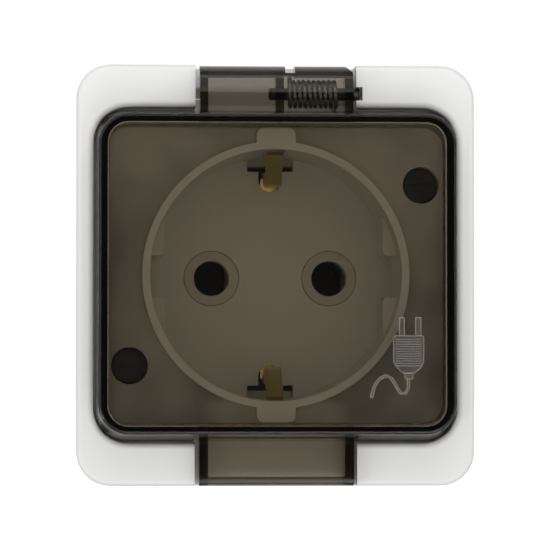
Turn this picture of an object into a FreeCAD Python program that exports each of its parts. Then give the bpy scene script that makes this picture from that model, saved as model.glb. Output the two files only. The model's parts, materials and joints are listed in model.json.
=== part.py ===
"""Outdoor weatherproof socket for a wall surface, with a sprung smoked lid.

Every piece is drawn lying on its back: X to the right, Y up the wall and Z out
of the wall, from the middle of the back face. STANDING then turns it upright,
so that Z is up and the front faces -Y. All sizes are in millimetres.
"""
import FreeCAD, Part
import math
import os
import Sketcher

SIZES = (
    ("cover_width", 62.5, "box and cover across"),
    ("cover_height", 66.0, "box and cover up the wall"),
    ("corner_radius", 5.4, "outer corners"),
    ("box_depth", 30.0, "wall to the joint of box and cover"),
    ("cover_depth", 12.0, "joint to the front of the frame"),
    ("shell_wall", 2.2, "side walls of box and cover"),
    ("back_wall", 2.0, "back of the box"),
    ("edge_round", 0.9, "outer front edge of the frame"),
    ("frame_round", 0.9, "inner front edge of the frame"),
    ("plate_drop", 1.5, "frame front down to the plate"),
    ("plate_wall", 1.8, "thickness of the plate"),
    ("frame_side", 2.7, "frame beside the lid groove"),
    ("frame_end", 6.65, "frame above and below the lid groove"),
    ("groove_side", 2.15, "lid groove beside the plate"),
    ("groove_end", 3.15, "lid groove above and below the plate"),
    ("groove_corner", 5.5, "lid groove corners"),
    ("groove_depth", 4.5, "frame front down to the groove floor"),
    ("groove_floor", 1.8, "thickness under the groove"),
    ("spigot_wall", 1.2, "tongue of the cover inside the box"),
    ("spigot_depth", 2.0, "reach of the tongue"),
    ("slip", 0.2, "gap where one shell slides in another"),
    ("gasket_width", 1.2, "box gasket across its section"),
    ("gasket_thickness", 1.0, "box gasket along the joint"),
    ("well_radius", 19.75, "plug well at the rim"),
    ("well_depth", 17.5, "rim to the floor"),
    ("well_draft", 0.8, "degrees"),
    ("well_wall", 1.2, "wall of the well"),
    ("floor_wall", 1.6, "floor of the well"),
    ("lug_width", 6.1, "lugs over the earth clips"),
    ("lug_margin", 0.1, "end of a lug to the edge of the plate"),
    ("lug_corner", 1.2, "lug corners"),
    ("pad_chord", 17.26, "guide pads from the centre"),
    ("pad_gap", 6.6, "gap between two pads"),
    ("pad_drop", 6.0, "rim to the front of a pad"),
    ("pad_corner", 0.8, "pad corners"),
    ("pin_spacing", 19.0, "pin holes apart"),
    ("pin_hole_radius", 2.85, "pin holes"),
    ("collar_radius", 4.35, "collar round a pin hole"),
    ("collar_slip", 0.1, "gap round a collar"),
    ("clip_slot_radius", 1.9, "lobe of the earth opening"),
    ("clip_slot_start", 14.0, "inner end of the earth opening"),
    ("clip_slot_step", 17.25, "where the earth opening widens"),
    ("clip_slot_width", 7.4, "wide part of the earth opening"),
    ("window_width", 3.3, "slot in the well wall behind a clip"),
    ("window_top", 1.4, "rim down to that slot"),
    ("screw_inset", 8.35, "cover screws from the side of the cover"),
    ("screw_y", 14.2, "cover screws above and below the centre"),
    ("screw_recess_radius", 2.9, "screw recess"),
    ("screw_recess_depth", 6.0, "plate down to the seal"),
    ("screw_boss_radius", 4.1, "screw pillar"),
    ("recess_wall", 0.5, "wall round a screw recess behind the plate"),
    ("screw_head_radius", 2.6, "cover screw head"),
    ("screw_head_height", 2.5, "cover screw head"),
    ("screw_radius", 1.5, "cover and carrier screw shank"),
    ("screw_length", 25.0, "cover screw under its head"),
    ("screw_slack", 0.1, "gap round a shank"),
    ("seal_thickness", 0.8, "seal under a cover screw"),
    ("fixing_inset", 7.0, "wall screws from the ends of the box"),
    ("fixing_radius", 2.25, "wall screw hole"),
    ("fixing_boss_radius", 4.2, "pad round a wall screw"),
    ("fixing_boss_height", 1.0, "pad round a wall screw"),
    ("entry_level", 13.0, "cable entry out from the wall"),
    ("entry_radius", 8.3, "cable entry hole"),
    ("entry_rebate_radius", 10.0, "rebate round the entry"),
    ("entry_rebate_depth", 1.0, "rebate round the entry"),
    ("cable_radius", 4.5, "bore of the grommet"),
    ("cable_bore_length", 3.0, "length of that bore"),
    ("grommet_slip", 0.1, "gap round the grommet"),
    ("lid_gap", 0.3, "lid to the frame all round"),
    ("lid_side_draft", 0.4, "lean of the lid's side walls"),
    ("lid_end_draft", 1.2, "lean of its upper and lower walls"),
    ("lid_corner", 4.8, "lid corners"),
    ("lid_wall", 1.45, "walls of the lid"),
    ("lid_end_wall", 1.16, "its upper and lower walls where they meet the face"),
    ("lid_rise", 6.0, "frame front to the lid face"),
    ("lid_edge_drop", 3.15, "frame front down to the lid edge"),
    ("lid_edge_round", 0.5, "rounding of the lid face"),
    ("lid_inner_round", 0.4, "rounding inside the lid where walls and face meet"),
    ("seal_gap", 0.05, "lid edge over its gasket when shut"),
    ("lid_gasket_width", 1.2, "lid gasket across its section"),
    ("hinge_inset", 4.5, "hinge axis below the top of the cover"),
    ("hinge_drop", 1.6, "frame front down to the hinge axis"),
    ("hinge_radius", 4.4, "barrel round the hinge axis"),
    ("hinge_wall", 1.3, "wall of the barrel"),
    ("hinge_width", 24.0, "barrel across"),
    ("hinge_side_gap", 0.6, "barrel to the frame each side"),
    ("hinge_pocket_drop", 7.05, "frame front down to the pocket floor"),
    ("hinge_pocket_reach", 2.4, "pocket below the hinge axis"),
    ("hinge_skirt", 1.8, "barrel ends below the axis"),
    ("rib_position", 0.5, "inner rib right of the centre"),
    ("pin_radius", 1.0, "hinge pin"),
    ("pin_slack", 0.05, "gap round a turning pin"),
    ("pin_left_end", -1.1, "hinge pin"),
    ("pin_overhang", 0.6, "hinge pin past the side of its pocket"),
    ("trunnion_radius", 1.0, "moulded stub at the left"),
    ("trunnion_length", 2.4, "moulded stub at the left"),
    ("wire_radius", 0.3, "spring wire"),
    ("coil_radius", 2.0, "spring coil to the wire's middle"),
    ("coil_start", 2.0, "first turn right of the centre"),
    ("coil_pitch", 0.82, "one turn to the next"),
    ("coil_turns", 9.25, "turns of the spring"),
    ("tab_width", 24.2, "finger tab across"),
    ("tab_wall", 1.4, "walls of the finger tab"),
    ("tab_front_drop", 2.2, "tab front ahead of the frame front"),
    ("tab_pocket_gap", 0.6, "tab to the frame each side"),
    ("tab_pocket_drop", 4.6, "frame front down to the pocket floor"),
    ("carrier_radius", 21.5, "contact carrier"),
    ("carrier_back", 4.0, "wall to the back of the carrier"),
    ("cap_radius", 20.0, "front part of the carrier"),
    ("cap_thickness", 3.5, "front part of the carrier"),
    ("ear_offset", 17.5, "carrier screws from the centre each way"),
    ("ear_radius", 4.2, "carrier ears"),
    ("ear_thickness", 4.0, "carrier ears"),
    ("pillar_radius", 3.2, "cover pillars behind the ears"),
    ("brass_thickness", 0.6, "contact strip"),
    ("grip_half_gap", 2.45, "contact leaf from the pin's axis"),
    ("grip_height", 7.0, "contact leaves up the wall"),
    ("grip_length", 9.2, "contact leaves along the pin"),
    ("tip_depth", 3.0, "pin tip hole behind the contact"),
    ("terminal_side", 6.0, "terminal block across"),
    ("terminal_length", 7.0, "terminal block out from the wall"),
    ("terminal_y", 10.5, "terminals below the centre"),
    ("earth_terminal_y", 11.0, "earth terminal above the centre"),
    ("terminal_slip", 0.15, "gap round a terminal block"),
    ("wire_way", 3.4, "wire channel in a terminal block"),
    ("clamp_radius", 1.2, "terminal screw shank"),
    ("clamp_head_radius", 1.9, "terminal screw head"),
    ("clamp_head_height", 2.3, "terminal screw head"),
    ("clip_width", 2.7, "earth clip across"),
    ("clip_thickness", 0.8, "earth clip and its bar"),
    ("clip_bar_width", 5.0, "bar between the two clips"),
    ("clip_foot", 16.6, "where a clip leaves the bar"),
    ("clip_bulge", 14.5, "nearest the clip comes to the centre"),
    ("clip_lead", 19.3, "front end of a clip from the centre"),
    ("clip_bend", 1.6, "bends of the clip"),
)

STANDING = FreeCAD.Placement(FreeCAD.Vector(0, 0, 0), FreeCAD.Rotation(FreeCAD.Vector(1, 0, 0), 90))

doc = FreeCAD.newDocument("weatherproof_socket")
sheet = doc.addObject("Spreadsheet::Sheet", "Sizes")


class Size:
    """A length that also knows its formula in the spreadsheet."""

    def __init__(self, number, formula):
        self.number = float(number)
        self.formula = formula

    def __add__(self, other):
        other = as_size(other)
        return Size(self.number + other.number, f"({self.formula} + {other.formula})")

    def __sub__(self, other):
        other = as_size(other)
        return Size(self.number - other.number, f"({self.formula} - {other.formula})")

    def __mul__(self, other):
        other = as_size(other)
        return Size(self.number * other.number, f"({self.formula} * {other.formula})")

    def __truediv__(self, other):
        other = as_size(other)
        return Size(self.number / other.number, f"({self.formula} / {other.formula})")

    def __radd__(self, other):
        return as_size(other) + self

    def __rsub__(self, other):
        return as_size(other) - self

    def __rmul__(self, other):
        return as_size(other) * self

    def __neg__(self):
        return Size(-self.number, f"(-1 * {self.formula})")


def as_size(value):
    if isinstance(value, Size):
        return value
    return Size(value, repr(float(value)))


def root(square):
    return Size(math.sqrt(square.number), f"sqrt({square.formula})")


class Named:
    """The cells of the spreadsheet by their names."""


S = Named()
for row, (alias, number, meaning) in enumerate(SIZES, 1):
    sheet.set(f"A{row}", alias)
    sheet.set(f"B{row}", str(number))
    sheet.set(f"C{row}", meaning)
    sheet.setAlias(f"B{row}", alias)
    setattr(S, alias, Size(number, f"Sizes.{alias}"))
doc.recompute()

# Levels out from the wall
joint = S.box_depth
front = joint + S.cover_depth
plate = front - S.plate_drop
groove = front - S.groove_depth
well_floor = front - S.well_depth
well_back = well_floor - S.floor_wall
cap_back = well_back - S.cap_thickness
lid_edge = front - S.lid_edge_drop
lid_face = front + S.lid_rise
hinge_level = front - S.hinge_drop
hinge_pocket = front - S.hinge_pocket_drop
tab_pocket = front - S.tab_pocket_drop
tab_front = front + S.tab_front_drop
screw_seat = plate - S.screw_recess_depth
under_groove = groove - S.groove_floor
under_plate = plate - S.plate_wall
ear_back = cap_back - S.ear_thickness
grip_back = S.carrier_back + 1.0 + S.tip_depth
terminal_back = grip_back + 1.2
wire_level = terminal_back + 0.8

# Places on the face
groove_width = S.cover_width - 2 * S.frame_side
groove_height = S.cover_height - 2 * S.frame_end
plate_width = groove_width - 2 * S.groove_side
plate_height = groove_height - 2 * S.groove_end
lid_base_width = groove_width - 2 * S.lid_gap
lid_base_height = groove_height - 2 * S.lid_gap
lid_face_width = lid_base_width - 2 * S.lid_side_draft
lid_face_height = lid_base_height - 2 * S.lid_end_draft
lug_reach = plate_height / 2 - S.lug_margin
screw_x = S.cover_width / 2 - S.screw_inset
fixing_y = S.cover_height / 2 - S.fixing_inset
hinge_y = S.cover_height / 2 - S.hinge_inset
hinge_pocket_start = hinge_y - S.hinge_pocket_reach
hinge_half = S.hinge_width / 2 + S.hinge_side_gap
tab_half = S.tab_width / 2 + S.tab_pocket_gap
pin_x = S.pin_spacing / 2
pin_right_end = hinge_half + S.pin_overhang
well_outer = S.well_radius + S.well_wall
hood_root = (lid_base_height + lid_face_height) / 4 - S.lid_wall / 2
hood_top = hinge_y + S.hinge_radius
SCREW_PLACES = ((screw_x, S.screw_y), (-screw_x, -S.screw_y))
EAR_PLACES = ((-S.ear_offset, S.ear_offset), (S.ear_offset, -S.ear_offset))
TERMINAL_PLACES = ((-pin_x, -S.terminal_y), (pin_x, -S.terminal_y), (0 * pin_x, S.earth_terminal_y))


def new_body(name):
    body = doc.addObject("PartDesign::Body", name)
    body.Label = name
    body.Placement = STANDING
    return body


def plane_of(body, role):
    for feature in body.Origin.OriginFeatures:
        if feature.Role == role:
            return feature
    raise ValueError(role)


def sketch_on(body, name, role="XY_Plane", out=0, up=0):
    """A sketch on an origin plane, moved out along its normal and up along its own Y."""
    sketch = body.newObject("Sketcher::SketchObject", name)
    sketch.AttachmentSupport = [(plane_of(body, role), "")]
    sketch.MapMode = "FlatFace"
    sketch.setExpression("AttachmentOffset.Base.z", as_size(out).formula)
    sketch.setExpression("AttachmentOffset.Base.y", as_size(up).formula)
    return sketch


def fix_point(sketch, geometry, point, x, y):
    """Tie a point to the sketch's origin by two sheet formulas."""
    for kind, value, axis in (("DistanceX", x, -2), ("DistanceY", y, -1)):
        if abs(value.number) < 1e-9:
            sketch.addConstraint(Sketcher.Constraint("PointOnObject", geometry, point, axis))
            continue
        index = sketch.addConstraint(Sketcher.Constraint(kind, -1, 1, geometry, point, value.number))
        sketch.setExpression(f"Constraints[{index}]", value.formula)


def circle(sketch, x, y, radius):
    x, y, radius = as_size(x), as_size(y), as_size(radius)
    centre = FreeCAD.Vector(x.number, y.number, 0)
    geometry = sketch.addGeometry(Part.Circle(centre, FreeCAD.Vector(0, 0, 1), radius.number))
    fix_point(sketch, geometry, 3, x, y)
    index = sketch.addConstraint(Sketcher.Constraint("Radius", geometry, radius.number))
    sketch.setExpression(f"Constraints[{index}]", radius.formula)


def corner_arc(before, corner, after, radius):
    """The arc that rounds one corner, and whether it runs from its end to its start."""
    towards = (before - corner).normalize()
    away = (after - corner).normalize()
    half_turn = math.acos(max(-1.0, min(1.0, towards.dot(away)))) / 2
    reach = radius / math.tan(half_turn)
    first = corner + towards * reach
    last = corner + away * reach
    middle = corner + (towards + away).normalize() * (radius / math.sin(half_turn))
    start_angle = math.atan2(first.y - middle.y, first.x - middle.x)
    end_angle = math.atan2(last.y - middle.y, last.x - middle.x)
    clockwise = towards.cross(away).z > 0
    if clockwise:
        start_angle, end_angle = end_angle, start_angle
    arc = Part.ArcOfCircle(Part.Circle(middle, FreeCAD.Vector(0, 0, 1), radius), start_angle, end_angle)
    return first, last, arc, clockwise


def draw(sketch, corners, closed=True):
    """Straight lines from corner to corner; a corner (x, y, radius) is rounded."""
    places = []
    for corner in corners:
        sizes = [as_size(value) for value in corner]
        places.append(sizes + [None] * (3 - len(sizes)))
    points = [FreeCAD.Vector(x.number, y.number, 0) for x, y, _ in places]
    count = len(points)
    starts = list(points)
    ends = list(points)
    arcs = {}
    for i, (x, y, radius) in enumerate(places):
        if radius is not None:
            ends[i], starts[i], arc, clockwise = corner_arc(
                points[i - 1], points[i], points[(i + 1) % count], radius.number)
            arcs[i] = (arc, clockwise)
    sides = []
    for i in range(count if closed else count - 1):
        sides.append(sketch.addGeometry(Part.LineSegment(starts[i], ends[(i + 1) % count])))
    for i, (x, y, radius) in enumerate(places):
        is_end = not closed and i in (0, count - 1)
        before = sides[i - 1] if not (is_end and i == 0) else None
        after = sides[i] if i < len(sides) else None
        if is_end:
            fix_point(sketch, after if i == 0 else before, 1 if i == 0 else 2, x, y)
        elif radius is None:
            sketch.addConstraint(Sketcher.Constraint("Coincident", before, 2, after, 1))
            fix_point(sketch, after, 1, x, y)
        else:
            arc, clockwise = arcs[i]
            bend = sketch.addGeometry(arc)
            sketch.addConstraint(Sketcher.Constraint("Tangent", before, 2, bend, 2 if clockwise else 1))
            sketch.addConstraint(Sketcher.Constraint("Tangent", bend, 1 if clockwise else 2, after, 1))
            index = sketch.addConstraint(Sketcher.Constraint("Radius", bend, radius.number))
            sketch.setExpression(f"Constraints[{index}]", radius.formula)
            mark = sketch.addGeometry(Part.Point(points[i]), True)
            sketch.addConstraint(Sketcher.Constraint("PointOnObject", mark, 1, before))
            sketch.addConstraint(Sketcher.Constraint("PointOnObject", mark, 1, after))
            fix_point(sketch, mark, 1, x, y)


def rectangle(sketch, width, height, radius=None, x=0, y=0):
    """A rectangle about (x, y), with rounded corners if a radius is given."""
    left, right = x - width / 2, x + width / 2
    low, high = y - height / 2, y + height / 2
    corners = [(left, low), (right, low), (right, high), (left, high)]
    if radius is not None:
        corners = [corner + (radius,) for corner in corners]
    draw(sketch, corners)


def flats(sketch, x, y, radius, count=6):
    """A round section drawn with a few flats, for a wire too thin to need a true circle."""
    turn = 2 * math.pi / count
    draw(sketch, [(x + radius * math.cos(turn * (i + 0.5)), y + radius * math.sin(turn * (i + 0.5)))
                  for i in range(count)])


def feature_on(body, kind, name, sketch):
    feature = body.newObject("PartDesign::" + kind, name)
    feature.Profile = sketch
    return feature


def pad(body, name, sketch, length, way="out"):
    """Way is out along the sketch's normal, back against it, or both."""
    feature = feature_on(body, "Pad", name, sketch)
    feature.setExpression("Length", as_size(length).formula)
    feature.Reversed = way == "back"
    if way == "both":
        feature.SideType = "Symmetric"
    return feature


def pocket(body, name, sketch, depth, way="back", draft=None):
    """A cut; way is back against the sketch's normal, out along it, or both."""
    feature = feature_on(body, "Pocket", name, sketch)
    feature.setExpression("Length", as_size(depth).formula)
    feature.Reversed = way == "out"
    if way == "both":
        feature.SideType = "Symmetric"
    if draft is not None:
        feature.setExpression("TaperAngle", draft.formula)
    return feature


def turned(body, kind, name, sketch, axis):
    """A revolved piece or cut about an axis of its own sketch."""
    feature = feature_on(body, kind, name, sketch)
    feature.ReferenceAxis = (sketch, [axis])
    return feature


def dress(body, kind, name, size, chosen):
    """Round or bevel the edges of the body that the test picks."""
    doc.recompute()
    base = body.Tip
    names = [f"Edge{i}" for i, edge in enumerate(base.Shape.Edges, 1) if chosen(edge)]
    if not names:
        raise ValueError(f"{name} found no edge")
    feature = body.newObject("PartDesign::" + kind, name)
    feature.Base = (base, names)
    feature.setExpression("Radius" if kind == "Fillet" else "Size", as_size(size).formula)
    return feature


def on_level(edge, level):
    """True where the whole edge lies at one distance from the wall."""
    box = edge.BoundBox
    return abs(box.ZMin - level.number) < 1e-4 and abs(box.ZMax - level.number) < 1e-4


def upright_at(edge, places):
    """True for a straight edge along Z that stands at one of the places."""
    box = edge.BoundBox
    if box.XLength > 1e-4 or box.YLength > 1e-4:
        return False
    return any(abs(box.XMin - x) < 1e-3 and abs(box.YMin - y) < 1e-3 for x, y in places)


def make_back_box():
    body = new_body("back_box")
    outline = sketch_on(body, "box_outline")
    rectangle(outline, S.cover_width, S.cover_height, S.corner_radius)
    pad(body, "box_block", outline, S.box_depth)
    inside = sketch_on(body, "box_inside", out=S.box_depth)
    rectangle(inside, S.cover_width - 2 * S.shell_wall, S.cover_height - 2 * S.shell_wall,
              S.corner_radius - S.shell_wall)
    pocket(body, "box_hollow", inside, S.box_depth - S.back_wall)

    pillars = sketch_on(body, "box_pillar_plan", out=S.back_wall)
    for x, y in SCREW_PLACES:
        circle(pillars, x, y, S.screw_boss_radius)
    pad(body, "box_pillars", pillars, S.box_depth - S.back_wall)
    ribs = sketch_on(body, "box_rib_plan", out=S.back_wall)
    wall_inside = S.cover_width / 2 - S.shell_wall
    rib_from = screw_x + S.screw_boss_radius - S.plate_wall
    for side, y in ((1, S.screw_y), (-1, -S.screw_y)):
        middle = side * (rib_from + wall_inside + S.shell_wall / 2) / 2
        rectangle(ribs, wall_inside + S.shell_wall / 2 - rib_from, S.plate_wall, x=middle, y=y)
    pad(body, "box_ribs", ribs, S.box_depth - S.back_wall - S.spigot_depth - 1.0)
    pilots = sketch_on(body, "box_pilot_plan", out=S.box_depth)
    for x, y in SCREW_PLACES:
        circle(pilots, x, y, S.screw_radius + S.screw_slack)
    pocket(body, "box_pilots", pilots, S.box_depth - S.back_wall - 2.0)

    fixings = sketch_on(body, "fixing_pad_plan", out=S.back_wall)
    for side in (-1, 1):
        circle(fixings, 0, side * fixing_y, S.fixing_boss_radius)
    pad(body, "fixing_pads", fixings, S.fixing_boss_height)
    holes = sketch_on(body, "fixing_hole_plan", out=S.back_wall + S.fixing_boss_height)
    for side in (-1, 1):
        circle(holes, 0, side * fixing_y, S.fixing_radius)
    pocket(body, "fixing_holes", holes, S.back_wall + S.fixing_boss_height)

    # The cable entry goes through the bottom wall, with a rebate for the grommet
    bottom = -S.cover_height / 2
    entry = sketch_on(body, "entry_section", "YZ_Plane", up=S.entry_level)
    draw(entry, (
        (bottom - 1.0, 0), (bottom - 1.0, S.entry_rebate_radius),
        (bottom + S.entry_rebate_depth, S.entry_rebate_radius),
        (bottom + S.entry_rebate_depth, S.entry_radius),
        (bottom + S.shell_wall + 1.0, S.entry_radius), (bottom + S.shell_wall + 1.0, 0)))
    turned(body, "Groove", "cable_entry", entry, "H_Axis")
    # A thin ring in the top wall marks the spare entry that can be knocked out
    knockout = sketch_on(body, "knockout_section", "YZ_Plane", up=S.entry_level)
    draw(knockout, (
        (-bottom + 1.0, S.entry_radius - 0.8), (-bottom + 1.0, S.entry_radius),
        (-bottom - S.shell_wall / 2, S.entry_radius), (-bottom - S.shell_wall / 2, S.entry_radius - 0.8)))
    turned(body, "Groove", "knockout_ring", knockout, "H_Axis")
    return body


def make_cover_gasket():
    body = new_body("cover_gasket")
    ring = sketch_on(body, "gasket_ring", out=joint)
    inset = S.shell_wall - S.gasket_width
    rectangle(ring, S.cover_width - inset, S.cover_height - inset, S.corner_radius - inset / 2)
    inset = S.shell_wall + S.gasket_width
    rectangle(ring, S.cover_width - inset, S.cover_height - inset, S.corner_radius - inset / 2)
    pad(body, "gasket_strip", ring, S.gasket_thickness)
    return body


def add_cover_shell(body):
    """The outer block, hollow from behind, with its tongue and gasket groove."""
    outline = sketch_on(body, "cover_outline", out=joint)
    rectangle(outline, S.cover_width, S.cover_height, S.corner_radius)
    pad(body, "cover_block", outline, S.cover_depth)
    inner_width = S.cover_width - 2 * S.shell_wall
    inner_height = S.cover_height - 2 * S.shell_wall
    inner_corner = S.corner_radius - S.shell_wall
    inside = sketch_on(body, "cover_inside", out=joint)
    rectangle(inside, inner_width, inner_height, inner_corner)
    pocket(body, "cover_hollow", inside, under_groove - joint, way="out")
    behind = sketch_on(body, "plate_inside", out=under_groove)
    rectangle(behind, plate_width - 2 * S.spigot_wall, plate_height - 2 * S.spigot_wall)
    pocket(body, "plate_hollow", behind, under_plate - under_groove, way="out")

    tongue = sketch_on(body, "tongue_plan", out=joint - S.spigot_depth)
    rectangle(tongue, inner_width - 2 * S.slip, inner_height - 2 * S.slip, inner_corner - S.slip)
    trim = 2 * S.slip + 2 * S.spigot_wall
    rectangle(tongue, inner_width - trim, inner_height - trim, inner_corner - trim / 2)
    pad(body, "tongue", tongue, S.spigot_depth)
    step = sketch_on(body, "tongue_root_plan", out=joint)
    rectangle(step, inner_width + S.slip, inner_height + S.slip, inner_corner)
    rectangle(step, inner_width - trim, inner_height - trim, inner_corner - trim / 2)
    pad(body, "tongue_root", step, S.spigot_wall)
    ring = sketch_on(body, "gasket_groove_plan", out=joint)
    inset = S.shell_wall - S.gasket_width
    rectangle(ring, S.cover_width - inset, S.cover_height - inset, S.corner_radius - inset / 2)
    inset = S.shell_wall + S.gasket_width
    rectangle(ring, S.cover_width - inset, S.cover_height - inset, S.corner_radius - inset / 2)
    pocket(body, "gasket_groove", ring, S.gasket_thickness, way="out")

    strips = sketch_on(body, "frame_inside", out=under_groove)
    outer_y = S.cover_height / 2 - S.shell_wall
    inner_y = groove_height / 2 + S.shell_wall
    start_x = hinge_half + S.trunnion_length + S.shell_wall
    end_x = plate_width / 2 - S.shell_wall
    for across in (-1, 1):
        for along in (-1, 1):
            rectangle(strips, end_x - start_x, outer_y - inner_y,
                      x=across * (start_x + end_x) / 2, y=along * (inner_y + outer_y) / 2)
    pocket(body, "frame_hollows", strips, front - S.plate_wall - under_groove, way="out")


def add_hinge_pocket(body):
    """The recess for the lid's barrel, with a floor of its own behind it."""
    wall = S.floor_wall
    top_inside = S.cover_height / 2 - S.shell_wall / 2
    backing = sketch_on(body, "hinge_backing_plan", out=hinge_pocket - wall)
    draw(backing, (
        (-hinge_half - wall, hinge_pocket_start - wall), (hinge_half + wall, hinge_pocket_start - wall),
        (hinge_half + wall, top_inside), (-hinge_half - wall, top_inside)))
    pad(body, "hinge_backing", backing, under_groove + 0.2 - (hinge_pocket - wall))
    recess = sketch_on(body, "hinge_pocket_plan", out=front + 1.0)
    draw(recess, (
        (-hinge_half, hinge_pocket_start), (hinge_half, hinge_pocket_start),
        (hinge_half, S.cover_height / 2 + 1.0), (-hinge_half, S.cover_height / 2 + 1.0)))
    pocket(body, "hinge_pocket", recess, S.hinge_pocket_drop + 1.0)
    socket = sketch_on(body, "trunnion_socket_plan", "YZ_Plane", out=-hinge_half)
    circle(socket, hinge_y, hinge_level, S.trunnion_radius + S.pin_slack)
    pocket(body, "trunnion_socket", socket, S.trunnion_length)
    seat = sketch_on(body, "pin_seat_plan", "YZ_Plane", out=hinge_half)
    reach = S.pin_radius + S.pin_slack
    draw(seat, (
        (hinge_y - reach, front + 1.0), (hinge_y - reach, hinge_level - reach, reach * 0.98),
        (hinge_y + reach, hinge_level - reach, reach * 0.98), (hinge_y + reach, front + 1.0)))
    pocket(body, "pin_seat", seat, pin_right_end + 2 * S.slip - hinge_half, way="out")


def add_lid_recess(body):
    """The groove round the plate, the lowered plate and the room for the finger tab."""
    sunk = sketch_on(body, "plate_sink_plan", out=front)
    rectangle(sunk, groove_width, groove_height, S.groove_corner)
    pocket(body, "plate_sink", sunk, S.plate_drop)
    ring = sketch_on(body, "groove_plan", out=plate)
    rectangle(ring, groove_width, groove_height, S.groove_corner)
    rectangle(ring, plate_width, plate_height, S.groove_corner - (groove_width - plate_width) / 2)
    pocket(body, "lid_groove", ring, S.groove_depth - S.plate_drop)
    tab = sketch_on(body, "tab_pocket_plan", out=front + 1.0)
    draw(tab, (
        (-tab_half, -S.cover_height / 2 - 1.0), (tab_half, -S.cover_height / 2 - 1.0),
        (tab_half, -groove_height / 2 + 0.5), (-tab_half, -groove_height / 2 + 0.5)))
    pocket(body, "tab_pocket", tab, S.tab_pocket_drop + 1.0)


def add_well(body):
    """The round well, its lugs and floor openings, and the pads that guide a plug."""
    tube = sketch_on(body, "well_plan", out=well_back)
    circle(tube, 0, 0, well_outer)
    pad(body, "well_tube", tube, front - well_back)
    lugs = sketch_on(body, "lug_plan", out=well_back)
    for side in (-1, 1):
        draw(lugs, (
            (-S.lug_width / 2, side * S.clip_slot_step), (S.lug_width / 2, side * S.clip_slot_step),
            (S.lug_width / 2, side * lug_reach, S.lug_corner),
            (-S.lug_width / 2, side * lug_reach, S.lug_corner)))
    pad(body, "lugs", lugs, front - well_back)
    bore = sketch_on(body, "well_bore_plan", out=front)
    circle(bore, 0, 0, S.well_radius)
    pocket(body, "well_bore", bore, S.well_depth, draft=-S.well_draft)

    wall_middle = S.well_radius + S.well_wall / 2
    pads = sketch_on(body, "guide_pad_plan", out=well_floor - S.floor_wall / 2)
    end_y = root(wall_middle * wall_middle - S.pad_chord * S.pad_chord)
    for across in (-1, 1):
        for along in (-1, 1):
            draw(pads, (
                (across * S.pad_chord, along * S.pad_gap / 2), (across * S.pad_chord, along * end_y),
                (across * wall_middle * 0.93, along * S.pad_gap * 1.15),
                (across * wall_middle, along * S.pad_gap / 2)))
    pad(body, "guide_pads", pads, S.well_depth - S.pad_drop + S.floor_wall / 2)
    places = [(across * S.pad_chord.number, along * S.pad_gap.number / 2)
              for across in (-1, 1) for along in (-1, 1)]
    dress(body, "Fillet", "guide_pad_corners", S.pad_corner, lambda edge: upright_at(edge, places))

    pins = sketch_on(body, "collar_hole_plan", out=well_floor)
    for side in (-1, 1):
        circle(pins, side * pin_x, 0, S.collar_radius + S.collar_slip)
    pocket(body, "collar_holes", pins, S.floor_wall)
    slots = sketch_on(body, "earth_opening_plan", out=well_floor)
    for side in (-1, 1):
        draw(slots, (
            (-S.clip_slot_radius, side * S.clip_slot_start, S.clip_slot_radius * 0.98),
            (S.clip_slot_radius, side * S.clip_slot_start, S.clip_slot_radius * 0.98),
            (S.clip_slot_radius, side * S.clip_slot_step),
            (S.clip_slot_width / 2, side * S.clip_slot_step),
            (S.clip_slot_width / 2, side * (S.well_radius + S.slip)),
            (-S.clip_slot_width / 2, side * (S.well_radius + S.slip)),
            (-S.clip_slot_width / 2, side * S.clip_slot_step),
            (-S.clip_slot_radius, side * S.clip_slot_step)))
    pocket(body, "earth_openings", slots, S.floor_wall)
    windows = sketch_on(body, "window_section", "YZ_Plane")
    for side in (-1, 1):
        draw(windows, (
            (side * S.clip_slot_step, well_floor + 3.0), (side * (lug_reach - S.well_wall), well_floor + 3.0),
            (side * (lug_reach - S.well_wall), front - S.window_top),
            (side * S.clip_slot_step, front - S.window_top)))
    pocket(body, "clip_windows", windows, S.window_width, way="both")


def add_screw_pillars(body):
    pillars = sketch_on(body, "cover_pillar_plan", out=joint)
    for x, y in SCREW_PLACES:
        circle(pillars, x, y, S.screw_boss_radius)
    pad(body, "cover_pillars", pillars, under_groove + S.groove_floor / 2 - joint)
    collars = sketch_on(body, "recess_collar_plan", out=under_groove)
    for x, y in SCREW_PLACES:
        circle(collars, x, y, S.screw_recess_radius + S.recess_wall)
    pad(body, "recess_collars", collars, under_plate + S.plate_wall / 2 - under_groove)
    recesses = sketch_on(body, "screw_recess_plan", out=plate)
    for x, y in SCREW_PLACES:
        circle(recesses, x, y, S.screw_recess_radius)
    pocket(body, "screw_recesses", recesses, S.screw_recess_depth)
    holes = sketch_on(body, "screw_hole_plan", out=screw_seat)
    for x, y in SCREW_PLACES:
        circle(holes, x, y, S.screw_radius + 2 * S.screw_slack)
    pocket(body, "screw_holes", holes, screw_seat - joint)
    ears = sketch_on(body, "carrier_pillar_plan", out=cap_back)
    for x, y in EAR_PLACES:
        circle(ears, x, y, S.pillar_radius)
    pad(body, "carrier_pillars", ears, under_plate + S.plate_wall / 2 - cap_back)
    pilots = sketch_on(body, "carrier_pilot_plan", out=cap_back)
    for x, y in EAR_PLACES:
        circle(pilots, x, y, S.screw_radius + S.screw_slack)
    pocket(body, "carrier_pilots", pilots, S.cover_depth, way="out")


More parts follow.
